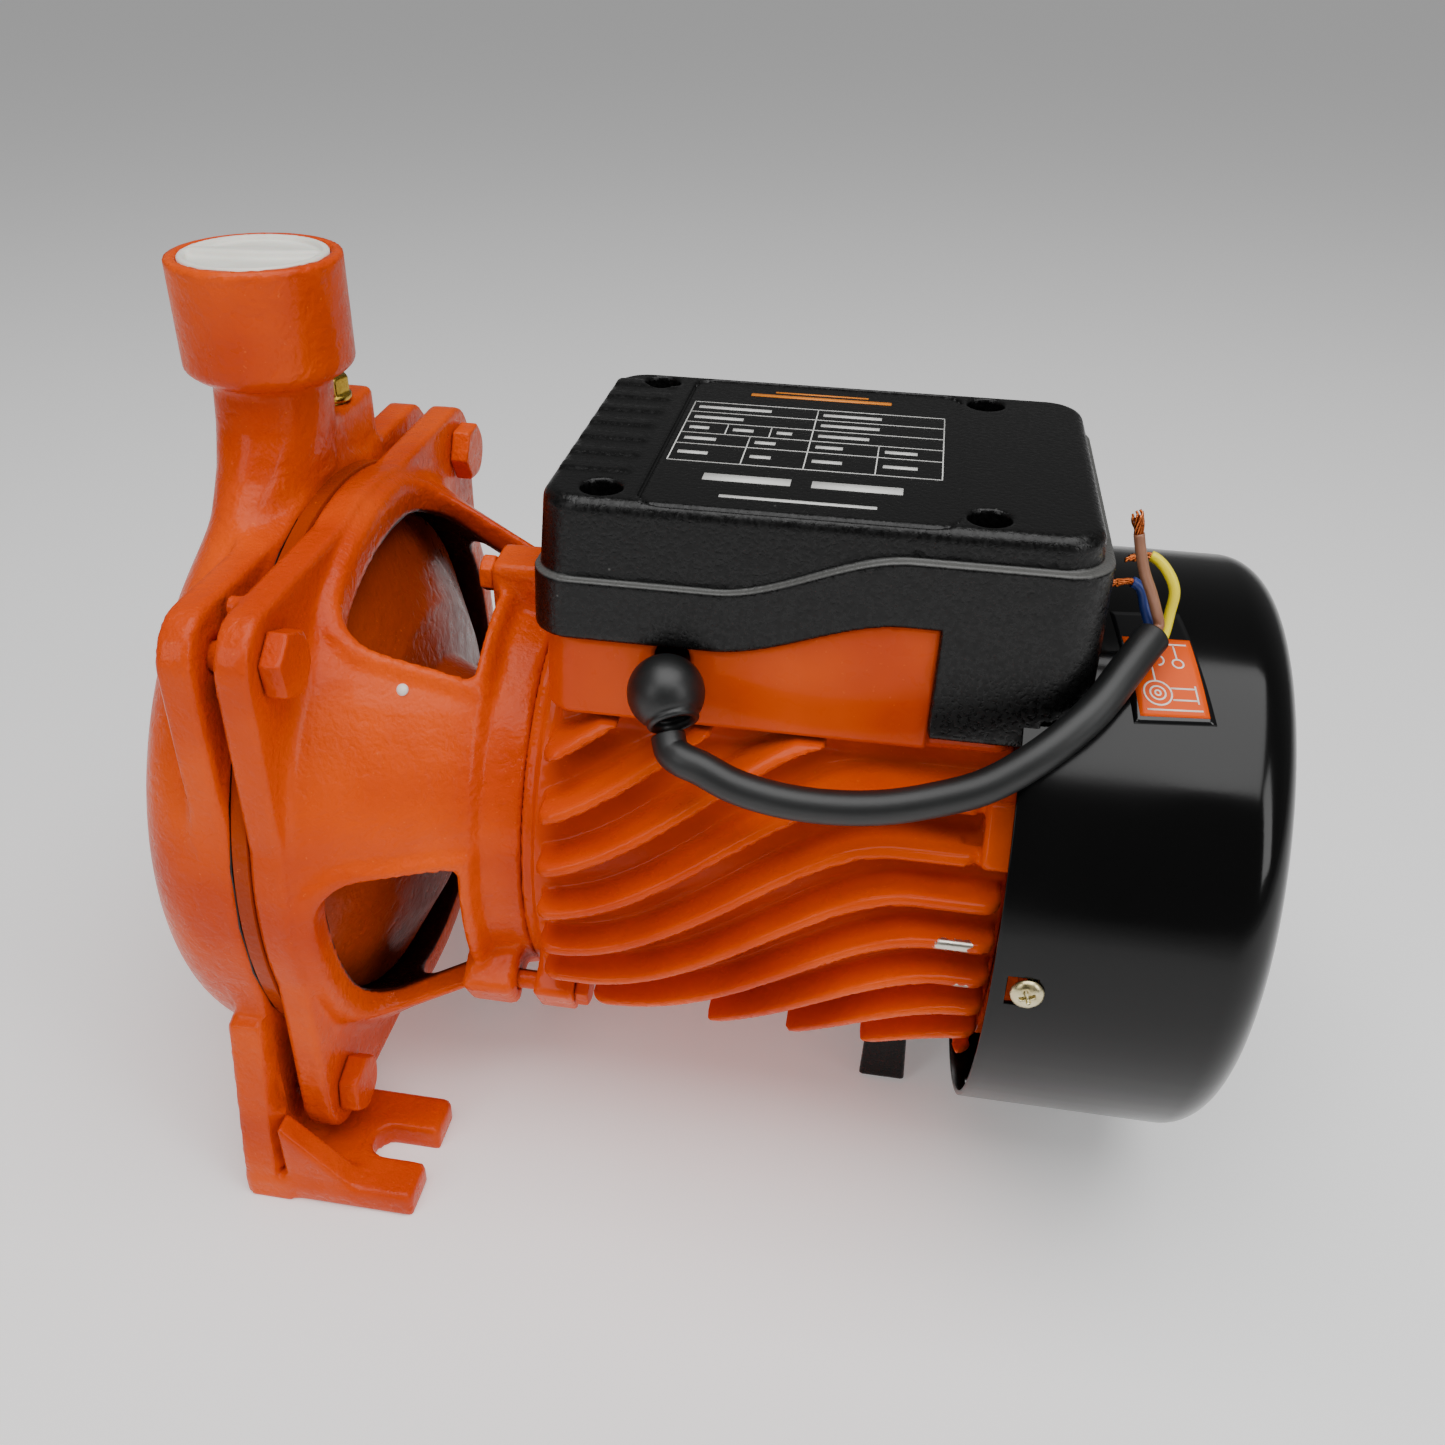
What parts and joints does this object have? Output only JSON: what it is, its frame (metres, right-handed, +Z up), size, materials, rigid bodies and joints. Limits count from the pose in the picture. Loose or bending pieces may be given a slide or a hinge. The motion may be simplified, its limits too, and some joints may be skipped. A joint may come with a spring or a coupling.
{
  "type": "centrifugal water pump",
  "caption": "Close-coupled electric centrifugal pump: cast volute with top outlet and end inlet, open bracket, finned motor, terminal box, fan cover and short lead.",
  "frame": {"origin": "middle of the bounding box, at the underside of the feet", "axes": "+X along the shaft from the inlet to the fan, +Z up, -Y the side the lead leaves from"},
  "size_m": [0.342, 0.21, 0.267],
  "materials": {
    "cast_enamel": "glossy orange enamel over cast iron and die-cast aluminium",
    "pressed_enamel": "glossy orange enamel on pressed and moulded pieces",
    "cover_black": "moulded black plastic, finely textured",
    "fan_cover_black": "moulded black plastic, glossy",
    "fan_black": "moulded black plastic",
    "rubber_black": "moulded black rubber",
    "cable_black": "extruded black rubber sheath, matt",
    "bolt_zinc": "yellow zinc-plated steel",
    "screw_zinc": "yellow zinc-plated steel",
    "machined_steel": "turned steel",
    "lamination": "stacked sheet steel",
    "copper_wire": "lacquered copper wire",
    "plug_brass": "turned brass",
    "cap_white": "moulded off-white polythene",
    "block_white": "moulded off-white plastic",
    "seal_ceramic": "ground ceramic",
    "seal_graphite": "carbon face in a rubber bellows",
    "core_brown": "brown insulation",
    "core_green": "green and yellow insulation",
    "core_blue": "blue insulation"
  },
  "bodies": {
    "pump_body": {"volute_casing": "cast_enamel", "casing_gasket": "rubber_black", "back_plate": "cast_enamel", "seal_seat": "seal_ceramic", "front_bearing": "machined_steel", "rear_bearing": "machined_steel", "bracket": "cast_enamel", "flange_bolt_1": "cast_enamel", "flange_bolt_2": "cast_enamel", "flange_bolt_3": "cast_enamel", "flange_bolt_4": "cast_enamel", "motor_housing": "cast_enamel", "tie_screw_1": "cast_enamel", "tie_screw_2": "cast_enamel", "tie_screw_3": "cast_enamel", "stator_core": "lamination", "stator_winding_front": "copper_wire", "stator_winding_rear": "copper_wire", "rear_end_shield": "cast_enamel", "shield_screw_1": "screw_zinc", "shield_screw_2": "screw_zinc", "shield_screw_3": "screw_zinc", "fan_cover": "fan_cover_black", "fan_cover_screw_1": "screw_zinc", "fan_cover_screw_2": "screw_zinc", "fan_cover_screw_3": "screw_zinc", "fan_cover_screw_4": "screw_zinc", "support_foot": "cover_black", "terminal_box_base": "pressed_enamel", "terminal_box_cover": "cover_black", "box_screw_1": "screw_zinc", "box_screw_2": "screw_zinc", "box_screw_3": "screw_zinc", "box_screw_4": "screw_zinc", "terminal_block": "block_white", "run_capacitor": "fan_black", "cable_gland": "rubber_black", "power_cable": "cable_black", "core_brown": "core_brown", "core_earth": "core_green", "core_blue": "core_blue"},
    "rotor": {"shaft": "machined_steel", "rotor_core": "lamination", "impeller": "plug_brass", "impeller_nut": "plug_brass", "seal_rotary": "seal_graphite", "slinger": "rubber_black", "cooling_fan": "fan_black", "fan_clip": "machined_steel"},
    "outlet_cover": {"outlet_cap": "cap_white"},
    "inlet_cover": {"inlet_cap": "cap_white"},
    "priming_screw": {"priming_plug": "plug_brass"},
    "drain_screw": {"drain_plug": "plug_brass"}
  },
  "joints": [
    {"name": "rotor_spin", "type": "hinge", "parent": "pump_body", "child": "rotor", "pos_m": [-0.106, 0, 0.106], "axis": [1, 0, 0], "continuous": true},
    {"name": "outlet_cap_lift", "type": "slide", "parent": "pump_body", "child": "outlet_cover", "axis": [0, 0, 1], "range_m": [0, 0.02]},
    {"name": "inlet_cap_pull", "type": "slide", "parent": "pump_body", "child": "inlet_cover", "axis": [-1, 0, 0], "range_m": [0, 0.02]},
    {"name": "priming_plug_lift", "type": "slide", "parent": "pump_body", "child": "priming_screw", "axis": [0, 0, 1], "range_m": [0, 0.014]},
    {"name": "drain_plug_pull", "type": "slide", "parent": "pump_body", "child": "drain_screw", "axis": [-1, 0, 0], "range_m": [0, 0.012]}
  ]
}
